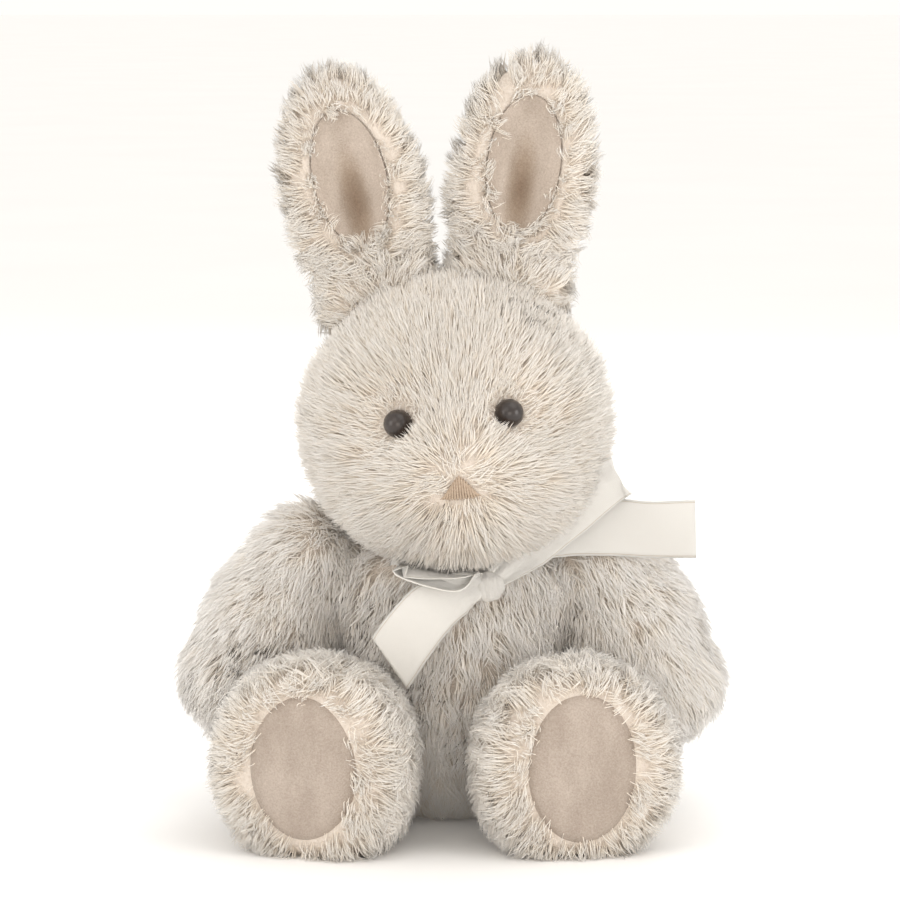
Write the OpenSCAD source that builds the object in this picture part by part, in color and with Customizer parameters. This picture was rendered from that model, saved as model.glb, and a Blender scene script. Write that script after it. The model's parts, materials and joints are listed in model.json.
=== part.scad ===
// Seated stuffed bunny: fur fabric over filling, sewn limbs, upright ears, tied satin ribbon.
// Millimetres, +Z up, facing -Y. The origin is the middle of the flat seat, on the surface it sits on.
// Left and right are the bunny's own, so its left side is +X.

/* [Fabric] */
// Thickness of the fur fabric: backing and matted base of the pile
fabric_t = 2; // [1.5:0.1:2.5]
// Gap between a skin and the filling inside it
fill_gap = 0.3; // [0.2:0.1:0.5]
// Gap between the neck and the hollows it turns in
neck_gap = 0.5; // [0.4:0.1:0.6]
// Gap between a leg's round root and the hollow it turns in
hip_gap = 2.2; // [2:0.1:2.6]
// Gap left at a seam between two fabric panels
seam_gap = 0.2; // [0.1:0.1:0.4]

/* [Torso] */
// Radius of the round hips
hip_r = 46; // [45:0.5:47]
// Height of the hips' middle above the seat
hip_z = 40; // [39:0.5:41]
// Radius of the round chest
chest_r = 31; // [30:0.5:32]
// Height of the chest's middle above the seat
chest_z = 73; // [72:0.5:74]
// How far the neck leans to the bunny's left
neck_lean = 6; // [4:1:7]
// Radius of the round tail
tail_r = 15; // [12:1:16]

/* [Head] */
// Radius of the round head
head_r = 50; // [49:0.5:51]
// Height of the neck's turning point above the seat
neck_z = 102; // [101:1:104]
// Height of the head's middle above the neck's turning point
head_rise = 50; // [49:1:51]
// Tilt of the head towards the bunny's right shoulder
head_tilt = 5.5; // [3:0.5:7]
// Radius of the filling that runs through the neck
neck_r = 21.5; // [20:0.5:22]
// Half width of the strip of fabric that runs over the crown
crown_half_w = 12; // [10:1:14]
// Diameter of each eye
eye_d = 10.5; // [9:0.5:12]
// Angle of each eye from the middle of the face
eye_turn = 24; // [20:1:27]
// Angle of the eyes above the middle of the head
eye_lift = 8; // [5:1:10]
// Width of the stitched nose
nose_w = 10; // [8:0.5:12]

/* [Ears] */
// Half width, half thickness and half height of an ear
ear_r = [23, 8, 44]; // [7:1:46]
// Lean outwards of the right ear
right_ear_lean = 8; // [6:1:11]
// Lean outwards of the left ear
left_ear_lean = 13; // [10:1:15]
// Radius of the rolled root that an ear bends on
ear_root_r = 8; // [7:0.5:9]
// Thickness of the velour fabric
velour_t = 1.2; // [1:0.1:1.6]

/* [Arms] */
// Radius of an arm at the shoulder
shoulder_r = 18; // [16:0.5:18]
// Radius of an arm at the paw
paw_r = 18.5; // [18:0.5:20]
// Distance of each shoulder from the chest's middle
shoulder_x = 54; // [53.5:0.5:55]
// Height of the shoulders
shoulder_z = 93; // [91:1:94]
// Distance from shoulder to paw centre
arm_l = 47; // [44:1:50]

/* [Legs] */
// Radius of a leg at the hip
leg_r = 23; // [22:0.5:23]
// Radius of a foot
foot_r = 31; // [29:0.5:32]
// Height by which a foot is taller than it is wide
foot_extra_h = 5; // [4:0.5:7]
// Distance from hip to the foot's middle
foot_reach = 50; // [48:1:54]
// Turn outwards of the right leg
right_leg_splay = 15; // [12:1:18]
// Turn outwards of the left leg
left_leg_splay = 9; // [7:1:12]
// Half width and half height of a foot pad
pad_r = [20.5, 27]; // [16:0.5:28]

/* [Ribbon] */
// Width of the satin ribbon
ribbon_w = 22; // [20:1:24]
// Thickness of one flat layer of the ribbon
ribbon_t = 0.8; // [0.6:0.1:1]

/* [Hidden] */
$fn = 64;

LEFT = 1;
RIGHT = -1;
FAR = 400;
FUR = [0.87, 0.84, 0.80];
VELOUR = [0.78, 0.70, 0.63];
STUFFING = [0.97, 0.97, 0.95];
SATIN = [0.96, 0.93, 0.88];

hip_c = [0, 0, hip_z];
chest_c = [0, -8, chest_z];
torso_seam_y = -4;
neck_c = [neck_lean, -13, neck_z];
pouch_c = [0, -2, 16];
pouch_r = [24, 22, 10];
tail_c = [0, hip_c[1] + hip_r + tail_r / 2, 30];
tail_turn = [90, 0, 0];

head_c = [0, -8, head_rise];
muzzle_c = [0, -46, 34];
muzzle_r = 21;
eye_dir = [cos(eye_lift) * sin(eye_turn), -cos(eye_lift) * cos(eye_turn), sin(eye_lift)];
eye_c = head_c + (head_r + 0.2) * eye_dir;
shank_r = 1.6;
shank_l = 12;
washer_r = 5;
washer_t = 1.4;
washer_depth = 6;
nose_c = [0, -67.3, 33];

ear_root_c = [24, 2, 96];
ear_root_l = 26;
ear_rise = ear_r[2] - 2;
ear_dish_c = [0, -10, ear_rise + 4];
ear_dish_r = [16, 10, 34];

shoulder_y = -10;
arm_dir = [24, -4, -41];

hip_joint = [37, -30, 34];
knee_r = 21;
limb_waist = 0.6;
foot_low = foot_r - hip_joint[2] - 1;
sole_y = -foot_reach - 17;
pad_t = 1.6;
pad_z = foot_low + foot_extra_h / 2 + 1;

band_r = 28.5;
band_drop = 4;
band_tilt = 8;
knot_c = neck_c + [7, -37, -9];

// ---- shared shapes ----

// A ball whose surface closes on its +X side, or where turn takes that line, away from the seams
module ball(c, r, turn = [0, 0, 0]) {
    translate(c) rotate(turn) sphere(r = r);
}

module ellipsoid(c, r) {
    translate(c) scale(r / 10) sphere(r = 10);
}

// A ball with its poles on the X axis, away from a seam at x = 0
module sideways_ball(r) {
    rotate([0, 90, 0]) sphere(r = r);
}

// Everything on one side of the plane x = 0: side is LEFT or RIGHT
module side_half(side) {
    translate([side * (FAR / 2 + seam_gap / 2), 0, 0]) cube([FAR, FAR, FAR], center = true);
}

// ---- torso ----

module torso_form(inset, turn = [0, 0, 0]) {
    intersection() {
        union() {
            ball(hip_c, hip_r - inset, turn);
            ball(chest_c, chest_r - inset, turn);
        }
        translate([-FAR / 2, -FAR / 2, inset]) cube([FAR, FAR, FAR]);
    }
}

// The hollows that the neck and the legs turn in; the arms hang clear of the chest
module limb_hollows() {
    ball(neck_c, neck_r + neck_gap);
    for (side = [LEFT, RIGHT])
        ball([side * hip_joint[0], hip_joint[1], hip_joint[2]], leg_r + hip_gap,
            [0, 0, side == LEFT ? 0 : 180]);
}

module torso_skin(turn = [0, 0, 0]) {
    difference() {
        torso_form(0, turn);
        torso_form(fabric_t, turn);
        limb_hollows();
    }
}

module torso_back_panel(side) {
    color(FUR) intersection() {
        torso_skin();
        side_half(side);
        translate([-FAR / 2, torso_seam_y + seam_gap, -1]) cube([FAR, FAR, FAR]);
    }
}

module torso_front_panel() {
    color(FUR) intersection() {
        torso_skin([90, 0, 0]);
        translate([-FAR / 2, torso_seam_y - FAR, -1]) cube([FAR, FAR, FAR]);
    }
}

module torso_filling() {
    gap = [fill_gap, fill_gap, fill_gap];
    color(STUFFING) difference() {
        torso_form(fabric_t + fill_gap);
        limb_hollows();
        ellipsoid(pouch_c, pouch_r + gap);
    }
}

module seat_bean_pouch() {
    color([0.85, 0.85, 0.8]) ellipsoid(pouch_c, pouch_r);
}

module tail_fur() {
    color(FUR) difference() {
        ball(tail_c, tail_r, tail_turn);
        ball(tail_c, tail_r - fabric_t, tail_turn);
        ball(hip_c, hip_r + fill_gap);
    }
}

module tail_filling() {
    color(STUFFING) difference() {
        ball(tail_c, tail_r - fabric_t - fill_gap, tail_turn);
        ball(hip_c, hip_r + fill_gap);
    }
}

module sewn_in_label() {
    label = [16, 1.2, 22];
    color(SATIN) translate([33, 38.5, 27]) rotate([-20, 0, -40]) translate([0, 1.5, -label[2] / 2])
        cube(label, center = true);
}

// ---- neck and head ----

module neck_filling() {
    color(STUFFING) ball(neck_c, neck_r);
}

// Puts a shape modelled about the neck's turning point in its place
module on_head() {
    translate(neck_c) rotate([0, -head_tilt, 0]) children();
}

module head_form(inset, turn = [0, 0, 0]) {
    ball(head_c, head_r - inset, turn);
    ball(muzzle_c, muzzle_r - inset, turn);
}

module on_ear(side) {
    lean = side == LEFT ? left_ear_lean : right_ear_lean;
    translate([side * ear_root_c[0], ear_root_c[1], ear_root_c[2]])
        rotate([0, side * lean, 0])
            children();
}

module ear_root(r, l) {
    rotate([0, 90, 0]) cylinder(r = r, h = l, center = true);
}

module on_eye(side) {
    translate([side * eye_c[0], eye_c[1], eye_c[2]])
        rotate([90 - eye_lift, 0, side * eye_turn])
            children();
}

module head_hollows() {
    sphere(r = neck_r + neck_gap);
    for (side = [LEFT, RIGHT]) {
        on_ear(side) ear_root(ear_root_r + neck_gap, ear_root_l + 2 * neck_gap);
        on_eye(side) translate([0, 0, -shank_l]) cylinder(r = shank_r + fill_gap, h = 2 * shank_l);
    }
}

module head_skin(side = RIGHT) {
    turn = [0, 0, side == LEFT ? 90 : 0];
    difference() {
        head_form(0, turn);
        head_form(fabric_t, turn);
        head_hollows();
    }
}

// The strip over the crown, from the top of the nose to the nape
module crown_zone(half_w) {
    translate([-half_w, -FAR / 2, nose_c[2] + 6]) cube([2 * half_w, FAR, FAR]);
}

module head_side_panel(side) {
    color(FUR) on_head() difference() {
        intersection() {
            head_skin(side);
            side_half(side);
        }
        crown_zone(crown_half_w + seam_gap);
    }
}

module head_crown_strip() {
    color(FUR) on_head() intersection() {
        head_skin();
        crown_zone(crown_half_w);
    }
}

module head_filling() {
    color(STUFFING) on_head() difference() {
        head_form(fabric_t + fill_gap);
        head_hollows();
        for (side = [LEFT, RIGHT])
            on_eye(side) translate([0, 0, -washer_depth - washer_t - fill_gap])
                cylinder(r = washer_r + fill_gap, h = washer_t + 2 * fill_gap);
    }
}

module eye(side) {
    color([0.13, 0.09, 0.08]) on_head() on_eye(side) {
        intersection() {
            scale([1, 1, 0.75]) sphere(d = eye_d);
            translate([0, 0, eye_d / 2]) cube(eye_d, center = true);
        }
        translate([0, 0, -shank_l]) cylinder(r = shank_r, h = shank_l);
    }
}

module eye_washer(side) {
    color([0.9, 0.9, 0.9]) on_head() on_eye(side) translate([0, 0, -washer_depth - washer_t])
        difference() {
            cylinder(r = washer_r, h = washer_t);
            translate([0, 0, -1]) cylinder(r = shank_r + 0.05, h = washer_t + 2);
        }
}

module nose_stitching() {
    r = 1.5;
    w = nose_w / 2 - r;
    color(VELOUR) on_head() translate(nose_c) rotate([90, 0, 0]) linear_extrude(height = 3)
        offset(r = r) polygon([[-w, 2.5], [w, 2.5], [0, -3]]);
}

// ---- ears ----

module ear_blade(inset) {
    in = [inset, inset, inset];
    ellipsoid([0, 0, ear_rise], ear_r - in);
}

module ear_dish(grow) {
    ellipsoid(ear_dish_c, ear_dish_r + [grow, grow, grow]);
}

module ear_fur(side) {
    color(FUR) on_head() on_ear(side) difference() {
        union() {
            ear_blade(0);
            ear_root(ear_root_r, ear_root_l);
        }
        ear_dish(velour_t + seam_gap);
    }
}

module ear_lining(side) {
    color(VELOUR) on_head() on_ear(side) difference() {
        intersection() {
            ear_blade(seam_gap);
            ear_dish(velour_t);
        }
        ear_dish(0);
    }
}

// ---- arms ----

// Turns a shape modelled along -Z from the shoulder into its place
module on_arm(side) {
    out = atan2(arm_dir[0], norm([arm_dir[1], arm_dir[2]]));
    fwd = atan2(-arm_dir[1], -arm_dir[2]);
    translate([side * shoulder_x, shoulder_y, shoulder_z])
        rotate([-fwd, 0, 0]) rotate([0, -side * out, 0])
            children();
}

// The arm between its two balls is a little slimmer than they are, so it crosses them cleanly
module arm_form(inset) {
    sphere(r = shoulder_r - inset);
    translate([0, 0, -arm_l]) {
        sphere(r = paw_r - inset);
        cylinder(r1 = paw_r - inset - limb_waist, r2 = shoulder_r - inset - limb_waist, h = arm_l);
    }
}

module arm_panel(side, half) {
    color(FUR) on_arm(side) intersection() {
        difference() {
            arm_form(0);
            arm_form(fabric_t);
        }
        side_half(half);
    }
}

module arm_filling(side) {
    color(STUFFING) on_arm(side) arm_form(fabric_t + fill_gap);
}

// ---- legs ----

// Turns a shape modelled along -Y from the hip into its place
module on_leg(side) {
    splay = side == LEFT ? left_leg_splay : right_leg_splay;
    translate([side * hip_joint[0], hip_joint[1], hip_joint[2]])
        rotate([0, 0, side * splay])
            children();
}

// A foot is a ball drawn upwards: one ball near the ground, one above, and the cylinder between
module leg_form(inset) {
    r = foot_r - inset;
    intersection() {
        union() {
            sphere(r = leg_r - inset);
            rotate([90, 0, 0])
                cylinder(r1 = leg_r - inset - limb_waist, r2 = knee_r - inset, h = foot_reach);
            translate([0, -foot_reach, foot_low]) {
                sideways_ball(r);
                translate([0, 0, foot_extra_h]) sideways_ball(r);
                cylinder(r = r, h = foot_extra_h);
            }
        }
        translate([-FAR / 2, sole_y + inset, inset - hip_joint[2]]) cube([FAR, FAR, FAR]);
    }
}

module leg_panel(side, half) {
    color(FUR) on_leg(side) intersection() {
        difference() {
            leg_form(0);
            leg_form(fabric_t);
        }
        side_half(half);
    }
}

module leg_filling(side) {
    color(STUFFING) on_leg(side) leg_form(fabric_t + fill_gap);
}

module foot_pad(side) {
    color(VELOUR) on_leg(side) translate([0, sole_y - seam_gap / 2, pad_z]) rotate([90, 0, 0])
        linear_extrude(height = pad_t) scale(pad_r / 10) circle(r = 10);
}

// ---- ribbon ----

module ribbon_neck_band() {
    color(SATIN) translate(neck_c - [0, 0, band_drop]) rotate([band_tilt, 0, 0])
        rotate_extrude() translate([band_r - 1, -2.5]) square([2, 5]);
}

module ribbon_knot() {
    color(SATIN) ellipsoid(knot_c, [6, 4.5, 6]);
}

// A flat strip from the knot, pinched at the root: its end is at reach and its cut slants
module ribbon_strip(l, root_w, slant) {
    rotate([90, 0, 0]) linear_extrude(height = ribbon_t, center = true)
        polygon([
            [0, -root_w / 2], [l / 2, -ribbon_w / 2], [l - slant, -ribbon_w / 2],
            [l + slant, ribbon_w / 2], [l / 2, ribbon_w / 2], [0, root_w / 2],
        ]);
}

module ribbon_left_loop() {
    color(SATIN) translate(knot_c + [6.5, -1.5, 1]) rotate([0, -26, -2]) ribbon_strip(58, 8, 0);
}

module ribbon_right_loop() {
    color(SATIN) translate(knot_c + [-6.5, -6, 3]) rotate([0, -10, 180]) rotate([90, 0, 0])
        ribbon_strip(28, 8, 0);
}

module ribbon_left_tail() {
    color(SATIN) translate(knot_c + [7, 1.5, -2]) rotate([0, -19, 6]) ribbon_strip(80, 8, 0);
}

module ribbon_right_tail() {
    color(SATIN) translate(knot_c + [-6, -2, -4]) rotate([0, 40, 172]) ribbon_strip(42, 8, -4);
}

torso_front_panel();
torso_back_panel(LEFT);  // torso_back_left_panel
torso_back_panel(RIGHT);  // torso_back_right_panel
torso_filling();
seat_bean_pouch();
tail_fur();
tail_filling();
sewn_in_label();
neck_filling();
head_side_panel(LEFT);  // head_left_panel
head_side_panel(RIGHT);  // head_right_panel
head_crown_strip();
head_filling();
eye(LEFT);  // left_eye
eye(RIGHT);  // right_eye
eye_washer(LEFT);  // left_eye_washer
eye_washer(RIGHT);  // right_eye_washer
nose_stitching();
ear_fur(LEFT);  // left_ear_fur
ear_lining(LEFT);  // left_ear_lining
ear_fur(RIGHT);  // right_ear_fur
ear_lining(RIGHT);  // right_ear_lining
arm_panel(LEFT, LEFT);  // left_arm_outer_panel
arm_panel(LEFT, RIGHT);  // left_arm_inner_panel
arm_filling(LEFT);  // left_arm_filling
arm_panel(RIGHT, RIGHT);  // right_arm_outer_panel
arm_panel(RIGHT, LEFT);  // right_arm_inner_panel
arm_filling(RIGHT);  // right_arm_filling
leg_panel(LEFT, LEFT);  // left_leg_outer_panel
leg_panel(LEFT, RIGHT);  // left_leg_inner_panel
foot_pad(LEFT);  // left_foot_pad
leg_filling(LEFT);  // left_leg_filling
leg_panel(RIGHT, RIGHT);  // right_leg_outer_panel
leg_panel(RIGHT, LEFT);  // right_leg_inner_panel
foot_pad(RIGHT);  // right_foot_pad
leg_filling(RIGHT);  // right_leg_filling
ribbon_neck_band();
ribbon_knot();
ribbon_left_loop();
ribbon_right_loop();
ribbon_left_tail();
ribbon_right_tail();
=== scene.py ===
"""Looks of the seated plush bunny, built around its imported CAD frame.

Shapes are worked out in millimetres in the row frame and become metres as they turn into meshes.
Each soft part is an implicit form: a function that is negative inside and roughly a distance outside.
"""
import json
import math

import bmesh
import bpy
import numpy as np
from mathutils import Matrix, Vector


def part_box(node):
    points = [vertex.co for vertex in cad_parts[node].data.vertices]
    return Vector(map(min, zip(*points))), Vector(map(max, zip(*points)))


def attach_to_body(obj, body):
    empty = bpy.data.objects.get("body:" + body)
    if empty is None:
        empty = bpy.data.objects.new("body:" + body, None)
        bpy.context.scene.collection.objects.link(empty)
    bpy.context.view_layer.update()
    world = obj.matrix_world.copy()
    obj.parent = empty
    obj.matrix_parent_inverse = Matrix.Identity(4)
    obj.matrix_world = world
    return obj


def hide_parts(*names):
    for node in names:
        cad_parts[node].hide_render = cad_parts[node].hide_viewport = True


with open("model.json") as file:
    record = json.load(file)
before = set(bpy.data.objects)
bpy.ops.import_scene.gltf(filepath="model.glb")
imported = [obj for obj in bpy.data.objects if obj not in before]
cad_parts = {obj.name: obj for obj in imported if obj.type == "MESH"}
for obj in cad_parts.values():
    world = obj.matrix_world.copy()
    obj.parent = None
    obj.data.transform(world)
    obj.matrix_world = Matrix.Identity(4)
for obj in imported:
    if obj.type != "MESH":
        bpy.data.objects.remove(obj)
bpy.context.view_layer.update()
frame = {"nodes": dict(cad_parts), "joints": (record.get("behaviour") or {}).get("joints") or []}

MM = 0.001
SIDES = {"left": 1, "right": -1}


def unit(v):
    return v / np.maximum(np.linalg.norm(v, axis=-1, keepdims=True), 1e-9)


def box_mm(node):
    lo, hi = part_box(node)
    return np.array(lo) / MM, np.array(hi) / MM


def joint_mm(name):
    joint = next(j for j in frame["joints"] if j["name"] == name)
    return np.array(joint["pos_m"], float) / MM


# ---- sizes, in mm, as the CAD has them ----

NECK = joint_mm("head_turn")
HEAD_TILT = 5.5
HEAD_C = np.array([0, -8, 50.0])
HEAD_R = 50.0
MUZZLE_C = np.array([0, -46, 34.0])
MUZZLE_R = 21.0
CHEEK_C, CHEEK_R = np.array([15, -38, 32.0]), 19.0
NOSE_C = np.array([0, -67.3, 33.0])
EYE_TURN, EYE_LIFT = 24.0, 8.0
EYE_R, EYE_DOME, EYE_PROUD = 5.25, 5.2, 1.3
EYE_HOLLOW, EYE_HOLLOW_R = 2.6, 9.5
EAR_ROOT = np.array([24, 2, 96.0])
EAR_LEAN = {"left": 13.0, "right": 8.0}
EAR_R = np.array([21.5, 8, 42.5])
EAR_MID = np.array([0, 0, 42.0])
EAR_ROOT_HALF, EAR_ROOT_Z, EAR_ROOT_R = 10.0, 2.0, 9.0
DISH_C = np.array([0, -10, 50.0])
DISH_R = np.array([17, 11, 31.0])
LINING_R = np.array([13.8, 26.0])
LINING_LIFT = 1.2  # over the bottom of the cup
FOLD_R, FOLD_Z, FOLD_DEPTH = (5.5, 15.0), 38.0, 6.0
HIPS_C, HIPS_R = np.array([0, 0, 40.0]), 46.0
CHEST_C, CHEST_R = np.array([0, -8, 73.0]), 31.0
SHOULDERS, SHOULDERS_R = np.array([40, -10, 89.0]), 15.0
COLLAR_R = 23.0
SHOULDER_R, ELBOW_R, PAW_R = 18.0, 20.0, 18.5
ARM = np.array([24, -4, -41.0])
ARM_L = 47.0
LEG_SPLAY = {"left": 9.0, "right": 15.0}
LEG_R, KNEE_R, FOOT_R, FOOT_REACH = 23.0, 21.0, 31.0, 50.0
FOOT_LOW, FOOT_TALLER = -4.0, 5.0
SOLE_Y = -67.0
PAD_R = np.array([20.5, 27])
PAD_Z = -0.5
PAD_TUCK, PAD_CROWN = 0.5, 3.2
TAIL_C, TAIL_R = np.array([0, 53.5, 30.0]), 15.0
KNOT = (box_mm("ribbon_knot")[0] + box_mm("ribbon_knot")[1]) / 2
KNOT_R = np.array([6.5, 5.0, 7.0])
RIBBON_W, RIBBON_THICK = 22.0, 0.35
UNDERCOAT = 2.6  # the dense base of the pile, over the cloth
GROUND = 0.3  # the skins stop this far above the floor
REACH = 140.0  # farther than any form's surface is from its middle


class Place:
    """Where a part's own axes sit in the row frame."""

    def __init__(self, origin, turn=None, parent=None):
        self.turn = np.array(turn if turn is not None else Matrix.Identity(3), float)
        self.origin = np.array(origin, float)
        if parent:
            self.origin = parent.origin + parent.turn @ self.origin
            self.turn = parent.turn @ self.turn

    def local(self, p):
        return (p - self.origin) @ self.turn

    def world(self, p):
        return p @ self.turn.T + self.origin

    def turned(self, v):
        return v @ self.turn.T


def turn_about(axis, degrees):
    return Matrix.Rotation(math.radians(degrees), 3, axis)


HEAD = Place(NECK, turn_about("Y", -HEAD_TILT))
EARS = {s: Place(EAR_ROOT * [k, 1, 1], turn_about("Y", k * EAR_LEAN[s]), HEAD) for s, k in SIDES.items()}
LEGS = {s: Place(joint_mm(f"{s}_leg_drop"), turn_about("Z", k * LEG_SPLAY[s])) for s, k in SIDES.items()}
ARMS = {s: Place(joint_mm(f"{s}_arm_swing")) for s in SIDES}
ARM_DIR = {s: unit(ARM * [k, 1, 1]) for s, k in SIDES.items()}


# ---- implicit forms ----

def ball(p, c, r):
    return np.linalg.norm(p - c, axis=-1) - r


def join(a, b, k):
    h = np.clip(0.5 + 0.5 * (b - a) / k, 0, 1)
    return b * (1 - h) + a * h - k * h * (1 - h)


def taper(p, a, b, ra, rb):
    a, b = np.array(a, float), np.array(b, float)
    t = np.clip((p - a) @ (b - a) / ((b - a) @ (b - a)), 0, 1)
    return np.linalg.norm(p - a - t[..., None] * (b - a), axis=-1) - (ra + (rb - ra) * t)


def lumps(p, size, seed):
    """Slow unevenness of hand stuffing, about -1 to 1."""
    rng = np.random.default_rng(seed)
    total = 0
    for k in rng.normal(size=(5, 3)) / size:
        total = total + np.sin(p @ k + rng.uniform(0, 6.28))
    return total / 3


def torso_form(p):
    f = join(ball(p, HIPS_C, HIPS_R), ball(p, CHEST_C, CHEST_R), 22)
    f = join(f, taper(p, SHOULDERS * [-1, 1, 1], SHOULDERS, SHOULDERS_R, SHOULDERS_R), 14)
    f = join(f, ball(p, NECK + [0, 4, -4], COLLAR_R), 10) - UNDERCOAT
    return np.maximum(f + 0.8 * lumps(p, 14, 1), GROUND - p[..., 2])


def head_form(p):
    p = HEAD.local(p)
    f = ball(p, HEAD_C, HEAD_R)
    for k in SIDES.values():
        f = join(f, ball(p, CHEEK_C * [k, 1, 1], CHEEK_R), 14)
    f = join(f, ball(p, MUZZLE_C, MUZZLE_R), 14) - UNDERCOAT
    for k in SIDES.values():
        d = np.linalg.norm(p - eye_centre(k), axis=-1)
        f = f + (UNDERCOAT + EYE_HOLLOW) * np.exp(-((d / EYE_HOLLOW_R) ** 2))
    return f + 0.5 * lumps(p, 16, 2)


def eye_centre(k, r=HEAD_R):
    t, e = math.radians(EYE_TURN), math.radians(EYE_LIFT)
    return HEAD_C + r * np.array([k * math.cos(e) * math.sin(t), -math.cos(e) * math.cos(t), math.sin(e)])


def arm_form(side):
    a = ARMS[side].origin
    b = a + ARM_L * ARM_DIR[side]
    mid = a + 0.55 * ARM_L * ARM_DIR[side]

    def form(p):
        f = taper(p, a, b, SHOULDER_R, PAW_R)
        f = join(f, ball(p, mid, ELBOW_R), 8)
        return f - UNDERCOAT + 0.7 * lumps(p, 12, 3)
    return form


def leg_form(side):
    place = LEGS[side]

    def form(p):
        q = place.local(p)
        foot = taper(q, (0, -FOOT_REACH, FOOT_LOW), (0, -FOOT_REACH, FOOT_LOW + FOOT_TALLER), FOOT_R, FOOT_R)
        f = join(taper(q, (0, 0, 0), (0, -FOOT_REACH, 0), LEG_R, KNEE_R), foot, 8) - UNDERCOAT
        f = join_cut(f, SOLE_Y - q[..., 1], 6)
        return np.maximum(f + 0.6 * lumps(p, 13, 4), GROUND - p[..., 2])
    return form


def join_cut(a, b, k):
    """The part of a outside the half space b, with the edge rounded over k."""
    return -join(-a, -b, k)


def ear_cup(x, z):
    """How far back the front of an ear goes, with a fold low in its cup."""
    inside = 1 - (x / DISH_R[0]) ** 2 - ((z - DISH_C[2]) / DISH_R[2]) ** 2
    fold = FOLD_DEPTH * np.exp(-((x / FOLD_R[0]) ** 2) - ((z - FOLD_Z) / FOLD_R[1]) ** 2)
    return DISH_C[1] + (DISH_R[1] + fold) * np.sqrt(np.clip(inside, 0, 1))


def ear_form(side):
    place = EARS[side]

    def form(p):
        q = place.local(p)
        blade = (np.linalg.norm((q - EAR_MID) / EAR_R, axis=-1) - 1) * 9 - UNDERCOAT / 3
        cup = 0.6 * (ear_cup(q[..., 0], q[..., 2]) - q[..., 1])
        ends = (-EAR_ROOT_HALF, 0, EAR_ROOT_Z), (EAR_ROOT_HALF, 0, EAR_ROOT_Z)
        root = taper(q, *ends, EAR_ROOT_R, EAR_ROOT_R)
        return join(join_cut(blade, cup, 1.5), root, 8)
    return form


def tail_form(p):
    return ball(p, TAIL_C, TAIL_R) - UNDERCOAT


def gradient(form, p):
    h = 0.05
    g = np.stack([form(p + h * e) - form(p - h * e) for e in np.eye(3)], axis=-1)
    return g / (2 * h)


def onto(form, p, steps):
    """p moved onto the form's surface."""
    for _ in range(steps):
        g = gradient(form, p)
        p = p - g * (form(p) / np.maximum((g * g).sum(-1), 0.05))[..., None]
    return p


# ---- meshes ----

def mesh_piece(name, points, faces, material, uv=None):
    mesh = bpy.data.meshes.new(name)
    mesh.from_pydata((np.asarray(points) * MM).tolist(), [], [list(map(int, f)) for f in faces])
    finish_mesh(mesh, material)
    if uv is not None:
        layer = mesh.uv_layers.new(name="OFBake")
        index = np.zeros(len(mesh.loops), int)
        mesh.loops.foreach_get("vertex_index", index)
        layer.data.foreach_set("uv", np.asarray(uv, np.float32)[index].ravel())
    return link(name, mesh)


def finish_mesh(mesh, material, smooth=True):
    mesh.polygons.foreach_set("use_smooth", [smooth] * len(mesh.polygons))
    mesh.materials.append(material)
    mesh.update()


def link(name, mesh):
    obj = bpy.data.objects.new(name, mesh)
    bpy.context.scene.collection.objects.link(obj)
    return obj


def attach(obj, body, nodes):
    """Lets a piece ride on a body in place of the CAD nodes that it stands for."""
    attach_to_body(obj, body)
    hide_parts(*nodes)


def sphere(level):
    """Points of a unit sphere and its triangles."""
    bm = bmesh.new()
    bmesh.ops.create_icosphere(bm, subdivisions=level, radius=1)
    points = np.array([v.co for v in bm.verts])
    faces = [[v.index for v in f.verts] for f in bm.faces]
    bm.free()
    return points, faces


def march(form, start, rays):
    """Where rays that start inside the form leave it."""
    lo, hi = np.zeros(len(rays)), np.full(len(rays), REACH)
    for _ in range(22):
        mid = (lo + hi) / 2
        inside = form(start + rays * mid[:, None]) < 0
        lo, hi = np.where(inside, mid, lo), np.where(inside, hi, mid)
    return start + rays * lo[:, None]


def star_surface(form, centre, stretch, level=5):
    """The form's surface as seen from centre, and its triangles."""
    points, faces = sphere(level)
    rays = unit(points * np.array(stretch, float))
    return march(form, np.asarray(centre, float), rays), np.array(faces)


def oval_grid(rings, spokes):
    """Points of a unit disc in rings, and its faces."""
    points = [(0.0, 0.0)]
    for i in range(1, rings + 1):
        for j in range(spokes):
            a = 2 * math.pi * j / spokes
            points.append((i / rings * math.cos(a), i / rings * math.sin(a)))
    faces = [(0, 1 + j, 1 + (j + 1) % spokes) for j in range(spokes)]
    for i in range(1, rings):
        a, b = 1 + (i - 1) * spokes, 1 + i * spokes
        faces += [(a + j, b + j, b + (j + 1) % spokes, a + (j + 1) % spokes) for j in range(spokes)]
    return np.array(points), faces


def flat_surface(form, place, middle, belly, rings=30, spokes=80):
    """A flat part's surface: a front and a back that meet at its outline, both seen from a bulging middle."""
    disc, faces = oval_grid(rings, spokes)
    triangles = np.array([t for f in faces for t in ((f[:3], (f[0], f[2], f[3])) if len(f) == 4 else (f,))])
    r = np.linalg.norm(disc, axis=1)
    way = np.stack([disc[:, 0], 0 * r, disc[:, 1]], axis=1) / np.maximum(r, 1e-9)[:, None]
    edge = place.local(march(form, place.world(middle), place.turned(way)))
    start = middle + (edge - middle) * np.sin(r * math.pi / 2)[:, None] * (r > 0)[:, None]
    start = start + np.outer((1 - r) ** 0.8, [0, belly, 0])
    sides = [march(form, place.world(start), place.turned(np.tile([0.0, y, 0], (len(r), 1)))) for y in (-1, 1)]
    rim = len(disc) - spokes
    back = np.arange(len(disc)) + len(disc)
    back[rim:] = np.arange(rim, len(disc))
    sides[0][rim:] = place.world(edge[rim:])
    return np.concatenate([sides[0], sides[1][:rim]]), np.concatenate([triangles, back[triangles][:, ::-1]])


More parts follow.
